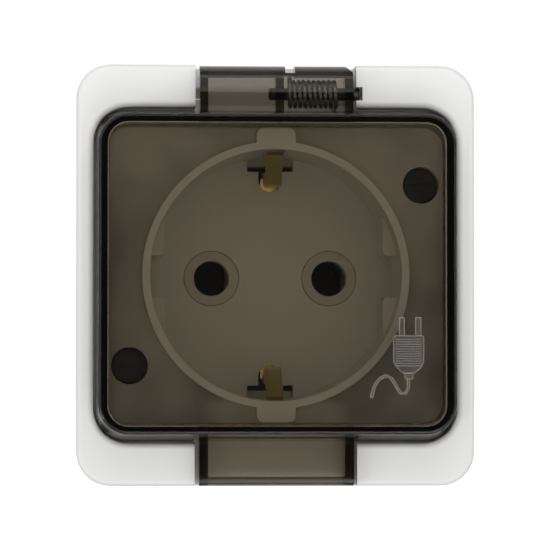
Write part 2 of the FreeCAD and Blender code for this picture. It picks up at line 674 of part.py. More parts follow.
def make_front_cover():
    body = new_body("front_cover")
    add_cover_shell(body)
    add_lid_recess(body)
    add_hinge_pocket(body)
    add_screw_pillars(body)
    add_well(body)
    half_x, half_y = groove_width.number / 2, groove_height.number / 2

    def inner_edge(edge):
        box = edge.BoundBox
        reach_x = max(abs(box.XMin), abs(box.XMax))
        reach_y = max(abs(box.YMin), abs(box.YMax))
        inside = reach_x <= half_x + 1e-3 and reach_y <= half_y + 1e-3
        outside_well = max(reach_y, abs(box.XMin)) > lug_reach.number + 1.0
        return on_level(edge, front) and inside and outside_well

    def outer_edge(edge):
        box = edge.BoundBox
        across = max(abs(box.XMin), abs(box.XMax)) > S.cover_width.number / 2 - S.corner_radius.number - 1e-3
        at_side = abs(abs(box.XMin) - S.cover_width.number / 2) < 1e-3
        at_end = min(abs(box.YMin), abs(box.YMax)) > S.cover_height.number / 2 - 1e-3
        corner = edge.Curve.TypeId == "Part::GeomCircle" and max(abs(box.YMin), abs(box.YMax)) > half_y + 1.0
        return on_level(edge, front) and across and (at_side or at_end or corner)

    dress(body, "Fillet", "frame_inner_round", S.frame_round, inner_edge)
    dress(body, "Fillet", "frame_outer_round", S.edge_round, outer_edge)
    return body


def wedge(body, kind, name, back, front_level, back_size, front_size):
    """A block that narrows towards the front; both sizes are (width, height) about the middle."""
    block = body.newObject("PartDesign::" + kind, name)
    block.AttachmentSupport = [(plane_of(body, "XZ_Plane"), "")]
    block.MapMode = "FlatFace"
    for prefix, (width, height) in (("", back_size), ("2", front_size)):
        for axis, length in (("X", width), ("Z", height)):
            block.setExpression(f"{axis}{prefix}min", (-length / 2).formula)
            block.setExpression(f"{axis}{prefix}max", (length / 2).formula)
    block.setExpression("Ymin", as_size(back).formula)
    block.setExpression("Ymax", as_size(front_level).formula)
    return block


def add_lid_tray(body):
    """The tray: its four walls lean inwards, and the corners and the face's edge are rounded."""
    wedge(body, "AdditiveWedge", "lid_block", lid_edge, lid_face,
          (lid_base_width, lid_base_height), (lid_face_width, lid_face_height))
    dress(body, "Fillet", "lid_corners", S.lid_corner, lambda edge: edge.BoundBox.ZLength > S.lid_wall.number)
    inner_width = lid_base_width - 2 * S.lid_wall
    inner_height = lid_base_height - 2 * S.lid_wall
    wedge(body, "SubtractiveWedge", "lid_hollow", lid_edge, lid_face - S.lid_wall,
          (inner_width, inner_height), (lid_face_width - 2 * S.lid_wall, lid_face_height - 2 * S.lid_end_wall))

    def inner_corner(edge):
        low = min(edge.Vertexes, key=lambda vertex: vertex.Z).Point
        at_corner = abs(abs(low.x) - inner_width.number / 2) + abs(abs(low.y) - inner_height.number / 2) < 1e-3
        return at_corner and edge.BoundBox.ZLength > S.lid_wall.number

    dress(body, "Fillet", "lid_inner_corners", S.lid_corner - S.lid_wall, inner_corner)
    dress(body, "Fillet", "lid_face_round", S.lid_edge_round, lambda edge: on_level(edge, lid_face))
    dress(body, "Fillet", "lid_inner_round", S.lid_inner_round, lambda edge: on_level(edge, lid_face - S.lid_wall))


def add_lid_barrel(body):
    """The half-open barrel at the top: its curved wall, two cheeks, a rib and a stub."""
    barrel_front = hinge_level + S.hinge_radius
    barrel_back = hinge_level - S.hinge_skirt
    shell = sketch_on(body, "barrel_section", "YZ_Plane")
    draw(shell, (
        (hood_root, barrel_front), (hood_top, barrel_front, S.hinge_radius), (hood_top, barrel_back),
        (hood_top - S.hinge_wall, barrel_back),
        (hood_top - S.hinge_wall, barrel_front - S.hinge_wall, S.hinge_radius - S.hinge_wall),
        (hood_root, barrel_front - S.hinge_wall)))
    pad(body, "barrel", shell, S.hinge_width, way="both")
    cheek_start = hinge_y - S.pin_radius - 2 * S.pin_slack
    for name, middle in (
            ("left_cheek", -S.hinge_width / 2 + S.hinge_wall / 2),
            ("rib", S.rib_position),
            ("right_cheek", S.hinge_width / 2 - S.hinge_wall / 2)):
        cheek = sketch_on(body, name + "_section", "YZ_Plane", out=middle)
        draw(cheek, (
            (hood_root, barrel_front), (hood_top, barrel_front, S.hinge_radius), (hood_top, barrel_back),
            (cheek_start, barrel_back), (cheek_start - 0.8, lid_edge), (hood_root, lid_edge)))
        pad(body, name, cheek, S.hinge_wall, way="both")
    stub = sketch_on(body, "trunnion_section", "YZ_Plane", out=-S.hinge_width / 2)
    circle(stub, hinge_y, hinge_level, S.trunnion_radius)
    pad(body, "trunnion", stub, S.trunnion_length, way="back")
    bore = sketch_on(body, "pin_bore_section", "YZ_Plane", out=S.rib_position - S.hinge_wall)
    circle(bore, hinge_y, hinge_level, S.pin_radius)
    pocket(body, "pin_bore", bore, S.hinge_width, way="out")
    slot = sketch_on(body, "leg_slot_plan", out=barrel_front)
    middle = S.coil_start + S.wire_radius / 2
    rectangle(slot, 5 * S.wire_radius, 2 * S.hinge_wall, x=middle, y=hood_top)
    pocket(body, "leg_slot", slot, 2 * S.hinge_radius)
    bevel = sketch_on(body, "barrel_corner_plan", out=barrel_front)
    edge_x = S.hinge_width / 2
    cut = S.hinge_wall * 0.9
    draw(bevel, (
        (edge_x + 1.0, hood_top - cut - 1.0), (edge_x + 1.0, hood_top + 1.0), (edge_x - cut - 1.0, hood_top + 1.0)))
    pocket(body, "barrel_corner", bevel, 2 * S.hinge_radius)


def add_lid_tab(body):
    """The hollow tab at the bottom that a finger lifts the lid by."""
    tab_end = -S.cover_height / 2 + S.seal_gap
    tab_back = tab_pocket + 0.5
    shell = sketch_on(body, "tab_section", "YZ_Plane")
    draw(shell, (
        (-hood_root, tab_front), (tab_end, tab_front, S.tab_wall * 0.8), (tab_end, tab_back + S.tab_wall),
        (tab_end + S.tab_wall, tab_back + S.tab_wall), (tab_end + S.tab_wall, tab_front - S.tab_wall),
        (-hood_root, tab_front - S.tab_wall)))
    pad(body, "tab", shell, S.tab_width, way="both")
    outside_groove = -groove_height / 2 - S.slip
    for name, side in (("tab_left", -1), ("tab_right", 1)):
        middle = side * (S.tab_width - S.tab_wall) / 2
        cheek = sketch_on(body, name + "_section", "YZ_Plane", out=middle)
        draw(cheek, (
            (-hood_root, tab_front), (tab_end, tab_front, S.tab_wall * 0.8), (tab_end, tab_back),
            (outside_groove, tab_back), (outside_groove, lid_edge), (-hood_root, lid_edge)))
        pad(body, name, cheek, S.tab_wall, way="both")


def make_lid():
    body = new_body("lid")
    add_lid_tray(body)
    add_lid_barrel(body)
    add_lid_tab(body)
    return body


def make_lid_gasket():
    body = new_body("lid_gasket")
    ring = sketch_on(body, "lid_gasket_plan", out=groove)
    rectangle(ring, lid_base_width - S.slip, lid_base_height - S.slip, S.lid_corner - S.slip / 2)
    trim = S.slip + 2 * S.lid_gasket_width
    rectangle(ring, lid_base_width - trim, lid_base_height - trim, S.lid_corner - trim / 2)
    pad(body, "lid_gasket_strip", ring, lid_edge - groove - S.seal_gap)
    return body


def make_hinge_pin():
    body = new_body("hinge_pin")
    section = sketch_on(body, "pin_section", "YZ_Plane", out=S.pin_left_end)
    circle(section, hinge_y, hinge_level, S.pin_radius)
    pad(body, "pin", section, pin_right_end - S.pin_left_end)
    dress(body, "Chamfer", "pin_ends", S.pin_radius / 5, lambda edge: edge.Curve.TypeId == "Part::GeomCircle")
    return body


def make_hinge_spring():
    """A torsion spring: one leg holds the lid, the other stands on the pocket floor."""
    body = new_body("hinge_spring")
    coil_end = S.coil_start + S.coil_turns * S.coil_pitch
    wire = body.newObject("Sketcher::SketchObject", "wire_section")
    wire.AttachmentSupport = [(plane_of(body, "XZ_Plane"), "")]
    wire.MapMode = "FlatFace"
    wire.setExpression("AttachmentOffset.Base.z", (-hinge_y).formula)
    wire.setExpression("AttachmentOffset.Base.y", hinge_level.formula)
    flats(wire, S.coil_start, S.coil_radius, S.wire_radius)
    coil = body.newObject("PartDesign::AdditiveHelix", "coil")
    coil.Profile = wire
    coil.ReferenceAxis = (wire, ["H_Axis"])
    coil.Mode = "pitch-turns-angle"
    coil.setExpression("Pitch", S.coil_pitch.formula)
    coil.setExpression("Turns", S.coil_turns.formula)
    coil.LeftHanded = False
    lid_leg = sketch_on(body, "lid_leg_section", "XZ_Plane", out=-hinge_y)
    flats(lid_leg, S.coil_start, hinge_level + S.coil_radius, S.wire_radius)
    inside = S.hinge_radius - S.hinge_wall
    leg_line = S.coil_radius + S.wire_radius
    pad(body, "lid_leg", lid_leg, root(inside * inside - leg_line * leg_line) - S.pin_slack, way="back")
    wall_leg = sketch_on(body, "wall_leg_section", out=hinge_level)
    flats(wall_leg, coil_end, hinge_y - S.coil_radius, S.wire_radius)
    pad(body, "wall_leg", wall_leg, hinge_level - hinge_pocket - S.seal_gap, way="back")
    return body


def make_contact_base():
    body = new_body("contact_base")
    disc = sketch_on(body, "base_plan", out=S.carrier_back)
    circle(disc, 0, 0, S.carrier_radius)
    pad(body, "base_disc", disc, cap_back - S.carrier_back)
    ears = sketch_on(body, "ear_plan", out=ear_back)
    for x, y in EAR_PLACES:
        circle(ears, x, y, S.ear_radius)
    pad(body, "ears", ears, S.ear_thickness)
    ear_holes = sketch_on(body, "ear_hole_plan", out=cap_back)
    for x, y in EAR_PLACES:
        circle(ear_holes, x, y, S.screw_radius + S.screw_slack)
    pocket(body, "ear_holes", ear_holes, S.ear_thickness)
    heads = sketch_on(body, "ear_relief_plan", out=ear_back)
    for x, y in EAR_PLACES:
        circle(heads, x, y, S.ear_radius - S.slip)
    pocket(body, "ear_reliefs", heads, ear_back - S.carrier_back)

    chambers = sketch_on(body, "chamber_plan", out=cap_back)
    tips = sketch_on(body, "tip_plan", out=grip_back)
    for side in (-1, 1):
        rectangle(chambers, 2 * S.grip_half_gap + 4 * S.brass_thickness, S.grip_height + 2 * S.brass_thickness,
                  x=side * pin_x)
        circle(tips, side * pin_x, 0, S.pin_hole_radius)
    pocket(body, "contact_chambers", chambers, cap_back - grip_back)
    pocket(body, "pin_tip_holes", tips, S.tip_depth)

    blocks = sketch_on(body, "terminal_pocket_plan", out=cap_back)
    ways = sketch_on(body, "wire_way_plan", out=cap_back)
    access = sketch_on(body, "screw_access_plan", out=S.carrier_back)
    shanks = sketch_on(body, "screw_shank_plan", out=S.carrier_back)
    side = S.terminal_side + 2 * S.terminal_slip
    for x, y in TERMINAL_PLACES:
        rectangle(blocks, side, side, x=x, y=y)
        circle(access, x, y, S.clamp_head_radius + S.terminal_slip)
        circle(shanks, x, y, S.clamp_radius + S.terminal_slip)
    way_start = S.grip_height / 2
    for x in (-pin_x, pin_x):
        rectangle(ways, S.wire_way, S.carrier_radius - way_start, x=x, y=-(S.carrier_radius + way_start) / 2)
    rectangle(ways, S.wire_way, S.carrier_radius - S.earth_terminal_y,
              y=(S.carrier_radius + S.earth_terminal_y) / 2)
    pocket(body, "terminal_pockets", blocks, cap_back - terminal_back)
    pocket(body, "wire_ways", ways, cap_back - wire_level)
    pocket(body, "screw_access", access, S.clamp_head_height + 1.0, way="out")
    pocket(body, "screw_shanks", shanks, terminal_back + 0.2 - S.carrier_back, way="out")
    return body


def make_contact_cap():
    body = new_body("contact_cap")
    disc = sketch_on(body, "cap_plan", out=cap_back)
    circle(disc, 0, 0, S.cap_radius)
    pad(body, "cap_disc", disc, S.cap_thickness)
    collars = sketch_on(body, "collar_plan", out=well_back - 0.5)
    holes = sketch_on(body, "pin_hole_plan", out=well_floor)
    for side in (-1, 1):
        circle(collars, side * pin_x, 0, S.collar_radius)
        circle(holes, side * pin_x, 0, S.pin_hole_radius)
    pad(body, "collars", collars, S.floor_wall + 0.5)
    pocket(body, "pin_holes", holes, well_floor - cap_back)
    bar = sketch_on(body, "bar_channel_plan", out=cap_back)
    rectangle(bar, S.clip_bar_width + 2 * S.slip, 2 * (S.clip_slot_start - S.slip))
    pocket(body, "bar_channel", bar, S.clip_thickness, way="out")
    slots = sketch_on(body, "clip_slot_plan", out=cap_back)
    slot_start = S.clip_slot_start - S.clip_slot_radius - S.slip
    slot_end = S.cap_radius - S.clip_slot_radius
    for side in (-1, 1):
        draw(slots, (
            (-S.clip_slot_radius, side * slot_start), (S.clip_slot_radius, side * slot_start),
            (S.clip_slot_radius, side * S.clip_foot), (S.clip_slot_width / 2, side * S.clip_foot),
            (S.clip_slot_width / 2, side * slot_end), (-S.clip_slot_width / 2, side * slot_end),
            (-S.clip_slot_width / 2, side * S.clip_foot), (-S.clip_slot_radius, side * S.clip_foot)))
    pocket(body, "clip_slots", slots, S.cap_thickness, way="out")
    return body


def make_contact(name, x):
    """A folded brass grip for one pin, with a tail to its terminal."""
    body = new_body(name)
    inner, outer = S.grip_half_gap, S.grip_half_gap + S.brass_thickness
    low, high = -S.grip_height / 2, S.grip_height / 2
    flare = S.brass_thickness * 0.6
    grip = sketch_on(body, name + "_plan", out=grip_back)
    draw(grip, (
        (x - outer, low, S.brass_thickness * 1.4), (x + outer, low, S.brass_thickness * 1.4),
        (x + outer, high / 3), (x + outer + flare, high), (x + inner + flare, high),
        (x + inner, high / 3), (x + inner, low + S.brass_thickness, S.brass_thickness * 0.4),
        (x - inner, low + S.brass_thickness, S.brass_thickness * 0.4), (x - inner, high / 3),
        (x - inner - flare, high), (x - outer - flare, high), (x - outer, high / 3)))
    pad(body, name + "_grip", grip, S.grip_length)
    tail = sketch_on(body, name + "_tail_plan", out=wire_level + S.wire_way - S.brass_thickness)
    tail_end = -(S.terminal_y + S.terminal_side / 3)
    rectangle(tail, S.wire_way - 4 * S.slip, low + S.brass_thickness / 2 - tail_end, x=x,
              y=(low + S.brass_thickness / 2 + tail_end) / 2)
    pad(body, name + "_tail", tail, S.brass_thickness)
    return body


def make_earth_bracket():
    """One strip: a bar across the back of the well and a sprung clip at each end."""
    body = new_body("earth_bracket")
    bar = sketch_on(body, "bar_plan", out=cap_back)
    wide, narrow = S.clip_bar_width / 2, S.clip_width / 2
    neck, end = S.clip_slot_start - 2 * S.slip, S.clip_foot + S.clip_thickness / 2
    draw(bar, (
        (-narrow, -end), (narrow, -end), (narrow, -neck), (wide, -neck), (wide, neck), (narrow, neck),
        (narrow, end), (-narrow, end), (-narrow, neck), (-wide, neck), (-wide, -neck), (-narrow, -neck)))
    pad(body, "bar", bar, S.clip_thickness)
    knee = well_floor + 1.5
    bulge_level = well_floor + S.well_depth * 0.42
    lead_level = front - S.window_top - 2.2
    for name, side in (("upper", 1), ("lower", -1)):
        foot = sketch_on(body, name + "_clip_foot", out=cap_back)
        rectangle(foot, S.clip_width, S.clip_thickness, y=side * S.clip_foot)
        path = sketch_on(body, name + "_clip_path", "YZ_Plane")
        draw(path, (
            (side * S.clip_foot, cap_back), (side * S.clip_foot, knee, S.clip_bend * 1.5),
            (side * S.clip_bulge, bulge_level, S.clip_bend), (side * S.clip_lead, lead_level)), closed=False)
        clip = feature_on(body, "AdditivePipe", name + "_clip", foot)
        clip.Spine = path
    return body


def make_terminal(name, x, y):
    """A brass block with a square wire way and a tapped hole behind it."""
    body = new_body(name)
    block = sketch_on(body, name + "_plan", out=terminal_back)
    rectangle(block, S.terminal_side, S.terminal_side, x=x, y=y)
    earth = y.number > 0
    length = cap_back - terminal_back if earth else S.terminal_length
    pad(body, name + "_block", block, length)
    way = sketch_on(body, name + "_way_plan", "XZ_Plane", out=-y)
    middle = wire_level + S.wire_way / 2
    rectangle(way, S.wire_way, S.wire_way, x=x, y=middle)
    pocket(body, name + "_way", way, 2 * S.terminal_side, way="both")
    tapped = sketch_on(body, name + "_tapped_plan", out=terminal_back)
    circle(tapped, x, y, S.clamp_radius)
    pocket(body, name + "_tapped_hole", tapped, wire_level - terminal_back, way="out")
    return body


def make_screw(name, x, y, seat, head_radius, head_height, radius, length, towards_wall):
    """A cheese head on its seat, a plain shank and a slot for the driver."""
    body = new_body(name)
    head_way, shank_way = ("out", "back") if towards_wall else ("back", "out")
    head = sketch_on(body, name + "_head_plan", out=seat)
    circle(head, x, y, head_radius)
    pad(body, name + "_head", head, head_height, way=head_way)
    shank = sketch_on(body, name + "_shank_plan", out=seat)
    circle(shank, x, y, radius)
    pad(body, name + "_shank", shank, length, way=shank_way)
    top = seat + head_height if towards_wall else seat - head_height
    slot = sketch_on(body, name + "_slot_plan", out=top)
    rectangle(slot, head_radius * 1.3, head_radius * 0.3, x=x, y=y)
    pocket(body, name + "_slot", slot, head_height * 0.35, way="back" if towards_wall else "out")
    return body


def make_screw_seal(name, x, y):
    body = new_body(name)
    ring = sketch_on(body, name + "_plan", out=screw_seat)
    circle(ring, x, y, S.screw_recess_radius - S.screw_slack)
    circle(ring, x, y, S.screw_radius + S.screw_slack)
    pad(body, name + "_ring", ring, S.seal_thickness)
    return body


def make_cable_grommet():
    """A soft grommet in the bottom wall, whose funnel leads the cable to its lip."""
    body = new_body("cable_grommet")
    outside = -S.cover_height / 2 + S.grommet_slip
    web_out = -S.cover_height / 2 + S.entry_rebate_depth
    web_in = -S.cover_height / 2 + S.shell_wall
    neck = S.entry_radius - S.grommet_slip
    flange = S.entry_rebate_radius - S.grommet_slip
    lip_in = web_in + 2 * S.entry_rebate_depth + S.cable_bore_length
    section = sketch_on(body, "grommet_section", "YZ_Plane", up=S.entry_level)
    draw(section, (
        (outside, neck - 1.0), (outside, flange), (web_out, flange), (web_out, neck), (web_in, neck),
        (web_in, flange), (web_in + 1.2, flange), (lip_in, S.cable_radius + 1.3), (lip_in, S.cable_radius),
        (lip_in - S.cable_bore_length, S.cable_radius)))
    turned(body, "Revolution", "grommet", section, "H_Axis")
    return body


def make_all():
    pieces = [make_back_box(), make_cover_gasket(), make_front_cover(), make_lid(), make_lid_gasket(),
              make_hinge_pin(), make_hinge_spring(), make_contact_base(), make_contact_cap(),
              make_contact("line_contact", -pin_x), make_contact("neutral_contact", pin_x),
              make_earth_bracket(), make_cable_grommet()]
    for name, (x, y) in zip(("line", "neutral", "earth"), TERMINAL_PLACES):
        pieces.append(make_terminal(name + "_terminal", x, y))
        pieces.append(make_screw(
            name + "_terminal_screw", x, y, S.carrier_back + S.clamp_head_height + 1.0, S.clamp_head_radius,
            S.clamp_head_height, S.clamp_radius, wire_level + 1.0 - (S.carrier_back + S.clamp_head_height + 1.0),
            towards_wall=False))
    for name, (x, y) in zip(("upper", "lower"), EAR_PLACES):
        pieces.append(make_screw(
            "carrier_screw_" + name, x, y, ear_back, S.pillar_radius - 0.5, S.screw_head_height * 0.8,
            S.screw_radius, S.ear_thickness + S.cover_depth * 0.8, towards_wall=False))
    for name, (x, y) in zip(("upper", "lower"), SCREW_PLACES):
        pieces.append(make_screw_seal("cover_screw_seal_" + name, x, y))
        pieces.append(make_screw(
            "cover_screw_" + name, x, y, screw_seat + S.seal_thickness, S.screw_head_radius,
            S.screw_head_height, S.screw_radius, S.screw_length, towards_wall=True))
    return pieces


def check(pieces):
    """Stop if a feature failed, a cut removed nothing or a piece isn't one valid solid."""
    for item in doc.Objects:
        if any(word in item.State for word in ("Invalid", "Error")):
            raise RuntimeError(f"{item.Name} failed: {item.State}")
        if item.TypeId in ("PartDesign::Pocket", "PartDesign::Groove", "PartDesign::SubtractiveWedge"):
            if item.Shape.Volume > item.BaseFeature.Shape.Volume - 1e-3:
                raise RuntimeError(f"{item.Name} cut nothing")
    for piece in pieces:
        shape = piece.Shape
        if shape.isNull() or not shape.isValid() or len(shape.Solids) != 1:
            raise RuntimeError(f"{piece.Label} isn't one valid solid: {len(shape.Solids)}")


made = make_all()
doc.recompute()
check(made)
os.makedirs("parts", exist_ok=True)
for piece in made:
    piece.Shape.exportStep(f"parts/{piece.Label}.step")
    box = piece.Shape.BoundBox
    print(f"{piece.Label}: {piece.Shape.Volume:.0f} mm3, {box.XLength:.1f} x {box.YLength:.1f} x {box.ZLength:.1f}")
print(len(made), "pieces")
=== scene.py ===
# %% [markdown]
# A weatherproof wall socket, dressed for its portrait.
# The construction model holds every rigid piece at its real size and place. This script gives each
# piece its finish, winds the fine spring wire, raises the little plug sign on the lid, and sets up
# the camera and the light. Lengths are in metres and colours are linear.

# %% Load the fixed frame
import json
import math

import bmesh
import bpy
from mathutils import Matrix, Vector


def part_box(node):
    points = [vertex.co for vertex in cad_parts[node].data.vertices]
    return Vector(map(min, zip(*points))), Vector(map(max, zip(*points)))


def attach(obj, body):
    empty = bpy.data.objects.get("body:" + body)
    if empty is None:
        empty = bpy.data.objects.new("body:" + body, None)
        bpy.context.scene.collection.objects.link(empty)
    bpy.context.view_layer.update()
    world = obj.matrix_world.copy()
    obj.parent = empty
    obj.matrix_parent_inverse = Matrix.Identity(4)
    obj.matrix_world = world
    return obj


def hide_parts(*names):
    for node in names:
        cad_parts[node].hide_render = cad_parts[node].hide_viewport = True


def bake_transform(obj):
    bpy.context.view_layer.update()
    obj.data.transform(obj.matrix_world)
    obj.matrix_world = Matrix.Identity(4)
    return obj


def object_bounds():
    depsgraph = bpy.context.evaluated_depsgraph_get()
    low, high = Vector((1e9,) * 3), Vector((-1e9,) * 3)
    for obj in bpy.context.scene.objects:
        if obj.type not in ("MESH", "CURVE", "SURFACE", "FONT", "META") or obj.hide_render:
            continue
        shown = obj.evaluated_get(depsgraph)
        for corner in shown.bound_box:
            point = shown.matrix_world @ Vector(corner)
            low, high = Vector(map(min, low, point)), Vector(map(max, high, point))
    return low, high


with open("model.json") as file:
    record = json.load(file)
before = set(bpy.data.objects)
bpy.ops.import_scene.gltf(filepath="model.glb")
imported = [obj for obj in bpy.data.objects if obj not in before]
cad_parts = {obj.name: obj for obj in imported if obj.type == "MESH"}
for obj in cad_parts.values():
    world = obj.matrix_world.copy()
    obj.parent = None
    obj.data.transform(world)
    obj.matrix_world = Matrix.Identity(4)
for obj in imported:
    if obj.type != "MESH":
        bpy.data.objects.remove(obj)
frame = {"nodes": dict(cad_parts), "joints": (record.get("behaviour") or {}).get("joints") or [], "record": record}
cad_low, cad_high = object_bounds()
nodes = frame["nodes"]
MM = 0.001
scene = bpy.context.scene
scene.view_settings.view_transform = "Standard"
print("nodes:", len(nodes), "box in mm:", [round(v / MM, 1) for v in (cad_high - cad_low)])

# %% [markdown]
# The camera. The picture was taken nearly straight on, a little from the left and from below: that
# shows in how the well's rim and its floor are shifted against each other. The camera could stand
# anywhere along that line with a lens to match. About half a metre away, the side wall just stays out
# of sight at the left, as in the picture, so that distance was chosen.

# %% Place the camera
PICTURE_SIDE = 550
FOCAL_PIXELS = 3520
SENSOR = 36.0
CAMERA_BACK = 0.55
CAMERA_LEFT = 0.031
CAMERA_BELOW = 0.0186
AIM_LEFT = 0.16 * MM
cover_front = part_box("front_cover")[0].y
target = Vector((-AIM_LEFT, cover_front, 0))


def aim(thing, point):
    """Turns a lamp or camera so that it looks at a point."""
    thing.rotation_mode = "QUATERNION"
    thing.rotation_quaternion = (point - thing.location).to_track_quat("-Z", "Y")


camera_data = bpy.data.cameras.new("camera")
camera_data.lens = FOCAL_PIXELS / PICTURE_SIDE * SENSOR
camera_data.sensor_width = SENSOR
camera_data.clip_start = 0.01
camera_data.clip_end = 50
camera = bpy.data.objects.new("camera", camera_data)
scene.collection.objects.link(camera)
camera.location = target + Vector((-CAMERA_LEFT, -CAMERA_BACK, -CAMERA_BELOW))
aim(camera, target)
scene.camera = camera
print("lens in mm:", round(camera_data.lens, 1))

# %% [markdown]
# Shader graphs are long to write out by hand. A few small helpers keep each finish readable: they make
# a node and set its sockets by name, lay a noise on the piece, blend two colours by it, and turn it into
# a spread of roughness or a slight bump.

# %% Helpers for shader nodes


def add_node(tree, kind, **sockets):
    """A node whose inputs are set by name; underscores stand for spaces."""
    node = tree.nodes.new(kind)
    for name, value in sockets.items():
        node.inputs[name.replace("_", " ")].default_value = value
    return node


def feed(tree, value, socket):
    """Joins another node's output to a socket, or writes a plain value into it."""
    if isinstance(value, bpy.types.NodeSocket):
        tree.links.new(value, socket)
    else:
        socket.default_value = value


def new_material(name):
    """An empty material with one surface shader."""
    material = bpy.data.materials.new(name)
    material.use_nodes = True
    tree = material.node_tree
    tree.nodes.clear()
    output = tree.nodes.new("ShaderNodeOutputMaterial")
    shader = tree.nodes.new("ShaderNodeBsdfPrincipled")
    tree.links.new(shader.outputs["BSDF"], output.inputs["Surface"])
    return material, tree, shader, output


def noise(tree, scale, detail=2.0, stretch=(1, 1, 1)):
    """Noise fixed to the piece; scale is in features per metre."""
    place = tree.nodes.new("ShaderNodeTexCoord")
    shape = add_node(tree, "ShaderNodeMapping", Scale=stretch)
    texture = add_node(tree, "ShaderNodeTexNoise", Scale=scale, Detail=detail)
    tree.links.new(place.outputs["Object"], shape.inputs["Vector"])
    tree.links.new(shape.outputs["Vector"], texture.inputs["Vector"])
    return texture.outputs["Fac"]


def blend_colours(tree, factor, first, second):
    """The first colour where the factor is 0 and the second where it is 1."""
    mix = tree.nodes.new("ShaderNodeMix")
    mix.data_type = "RGBA"
    for side, colour in (("A", first), ("B", second)):
        feed(tree, (*colour, 1) if isinstance(colour, tuple) else colour, mix.inputs[side])
    tree.links.new(factor, mix.inputs["Factor"])
    return mix.outputs["Result"]


def spread(tree, factor, low, high):
    """Maps a 0 to 1 signal onto low to high."""
    span = add_node(tree, "ShaderNodeMapRange", To_Min=low, To_Max=high)
    tree.links.new(factor, span.inputs["Value"])
    return span.outputs["Result"]


def bump(tree, shader, height, strength, distance):
    """Lets a signal tilt the surface a little, as a fine grain does."""
    node = add_node(tree, "ShaderNodeBump", Strength=strength, Distance=distance)
    tree.links.new(height, node.inputs["Height"])
    tree.links.new(node.outputs["Normal"], shader.inputs["Normal"])
    return node


print("shader helpers are ready")

# %% [markdown]
# The white shell. Outdoor sockets are moulded in a hard white plastic with a satin skin: not a mirror,
# but smooth enough to roll a highlight along a rounded edge. A plain grey-white would do from far away,
# but looks like paper from near. So there is a faint cloudiness in the colour and a very fine grain in
# the surface, and a bevel in the shading softens the edges that the mould leaves round.

# %% White moulded plastic
SHELL_LIGHT = (0.83, 0.83, 0.825)
SHELL_DARK = (0.80, 0.80, 0.79)
SHELL_ROUGH = 0.36
SHELL_IOR = 1.5
MOULD_EDGE = 0.15 * MM
CLOUDS_PER_METRE = 60
SKIN_PER_METRE = 900
GRAIN_PER_METRE = 2600
GRAIN_DEPTH = 0.01 * MM


def white_plastic(name):
    material, tree, shader, _ = new_material(name)
    colour = blend_colours(tree, noise(tree, CLOUDS_PER_METRE, 3), SHELL_LIGHT, SHELL_DARK)
    tree.links.new(colour, shader.inputs["Base Color"])
    skin = spread(tree, noise(tree, SKIN_PER_METRE), SHELL_ROUGH - 0.05, SHELL_ROUGH + 0.06)
    tree.links.new(skin, shader.inputs["Roughness"])
    grain = bump(tree, shader, noise(tree, GRAIN_PER_METRE), 0.06, GRAIN_DEPTH)
    edge = add_node(tree, "ShaderNodeBevel", Radius=MOULD_EDGE)
    edge.samples = 8
    tree.links.new(edge.outputs["Normal"], grain.inputs["Normal"])
    shader.inputs["IOR"].default_value = SHELL_IOR
    return material, tree, shader, colour


shell_white = white_plastic("shell_white")[0]
print("made", shell_white.name)

# %% [markdown]
# The cover is the same plastic, but its plate under the lid is darker and greyer, in cloudy patches,
# so the raised rim of the well stands out. On top of that, the plate's colour carries painted light: it is
# painted paler towards the top, as if lit from above, and a painted pool of light sits at the bottom in the
# middle. The plate could be a piece of its own with a second material, but it is moulded in one with the
# cover. So one material looks at the place on the piece, and a mask picks out the plate by its depth.

# %% Masks from a place on the piece


def mathematics(tree, operation, first, second):
    """One arithmetic step; each side is a socket or a number."""
    node = tree.nodes.new("ShaderNodeMath")
    node.operation = operation
    feed(tree, first, node.inputs[0])
    feed(tree, second, node.inputs[1])
    return node.outputs["Value"]


def piece_axes(tree):
    """How far to the right, backwards and up a point of the piece lies."""
    place = tree.nodes.new("ShaderNodeTexCoord")
    axes = tree.nodes.new("ShaderNodeSeparateXYZ")
    tree.links.new(place.outputs["Object"], axes.inputs["Vector"])
    return axes.outputs["X"], axes.outputs["Y"], axes.outputs["Z"]


def between(tree, value, low, high, soft):
    """1 where the value lies between low and high, fading to 0 over a soft border."""
    rise = add_node(tree, "ShaderNodeMapRange", From_Min=low - soft, From_Max=low)
    fall = add_node(tree, "ShaderNodeMapRange", From_Min=high + soft, From_Max=high)
    for step in (rise, fall):
        tree.links.new(value, step.inputs["Value"])
    return mathematics(tree, "MULTIPLY", rise.outputs["Result"], fall.outputs["Result"])


print("mask helpers are ready")

# %% The cover's darker plate, with painted light
PLATE_LIGHT = (0.52, 0.51, 0.49)
PLATE_DARK = (0.28, 0.275, 0.265)
PLATE_DEEP = (-40.6 * MM, -40.4 * MM)
PATCHES_PER_METRE = 55
PATCH_RANGE = (0.35, 0.65)
# Painted light on the plate: paler towards the top, as if lit from above, and a pale pool low in the middle.
PAINTED_TOP_LIGHT_SPAN = (-5 * MM, 22 * MM)
PAINTED_TOP_LIGHT = (-0.14, 0.18)
PAINTED_POOL_ACROSS = 5 * MM
PAINTED_POOL_ACROSS_SOFT = 7 * MM
PAINTED_POOL_BELOW = -20.5 * MM
PAINTED_POOL_BELOW_SOFT = 1.5 * MM
PAINTED_POOL_LIGHT = 0.6
SHARP = 0.05 * MM
FAR = 40 * MM


